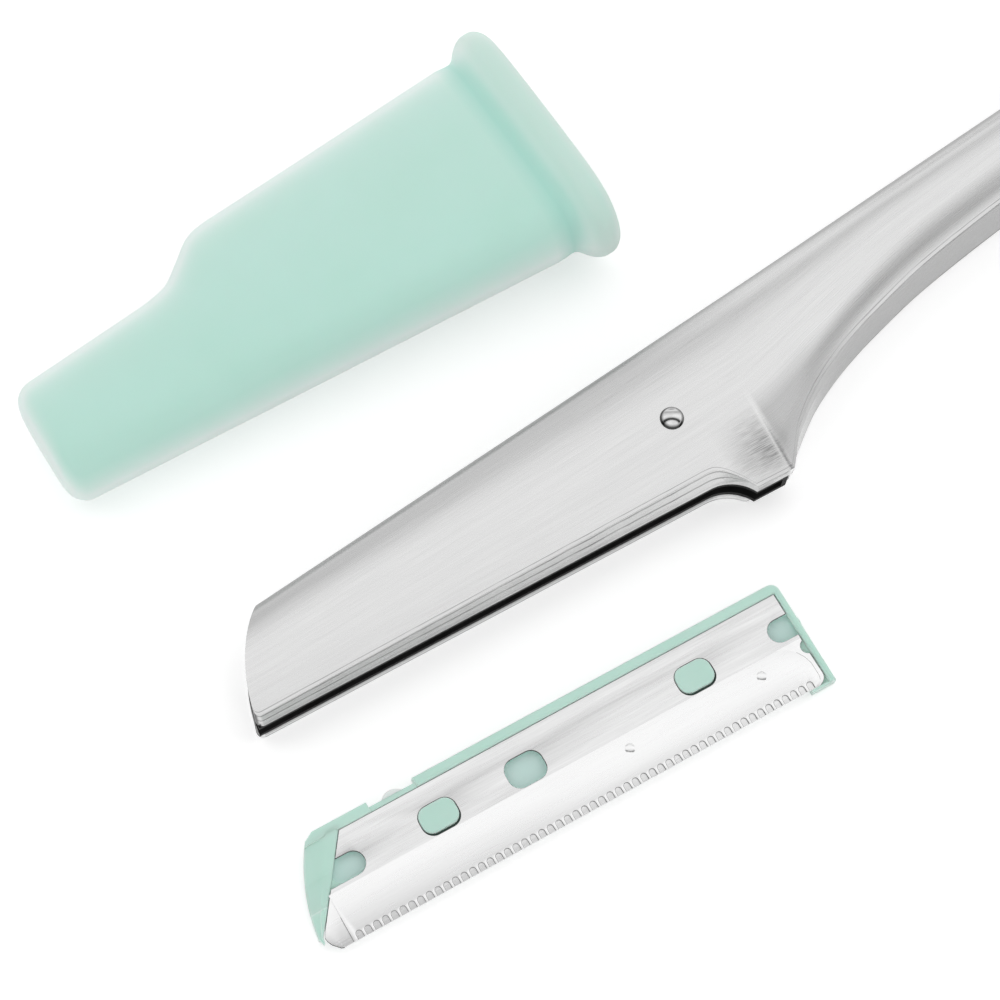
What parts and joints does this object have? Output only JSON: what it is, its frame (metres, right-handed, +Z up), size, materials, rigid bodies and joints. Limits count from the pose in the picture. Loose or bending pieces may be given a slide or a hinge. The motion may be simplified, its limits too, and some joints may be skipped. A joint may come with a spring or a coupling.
{
  "type": "eyebrow razor",
  "caption": "Eyebrow razor: slim steel handle with a slotted head, a slide-in blade unit with a guarded edge, and a soft cap with a flared rim.",
  "frame": {"origin": "middle of the whole layout's footprint, at the table that all three items lie on", "axes": "+X along the head's slot from the tip towards the butt, +Y from the blade unit towards the cap, +Z up"},
  "size_m": [0.1522, 0.0654, 0.0111],
  "materials": {
    "brushed_handle": "brushed lengthways",
    "black_plastic": "matt",
    "polished_steel": "polished",
    "mint_plastic": "satin",
    "blade_steel": "brushed lengthways",
    "guard_steel": "bright",
    "mint_cap": "soft matt"
  },
  "bodies": {
    "handle": {"handle_body": "brushed_handle", "slot_liner": "black_plastic", "liner_pin": "polished_steel"},
    "cartridge": {"blade_holder": "mint_plastic", "blade": "blade_steel", "guard_strip": "guard_steel"},
    "cap": {"cap": "mint_cap"}
  },
  "joints": [
    {"name": "cartridge_slide", "type": "slide", "parent": "handle", "child": "cartridge", "axis": [0.2281, 0.9696, 0.0882], "range_m": [0, 0.0171]},
    {"name": "cap_slide", "type": "slide", "parent": "handle", "child": "cap", "axis": [-1, 0, 0], "range_m": [0, 0.05]}
  ]
}
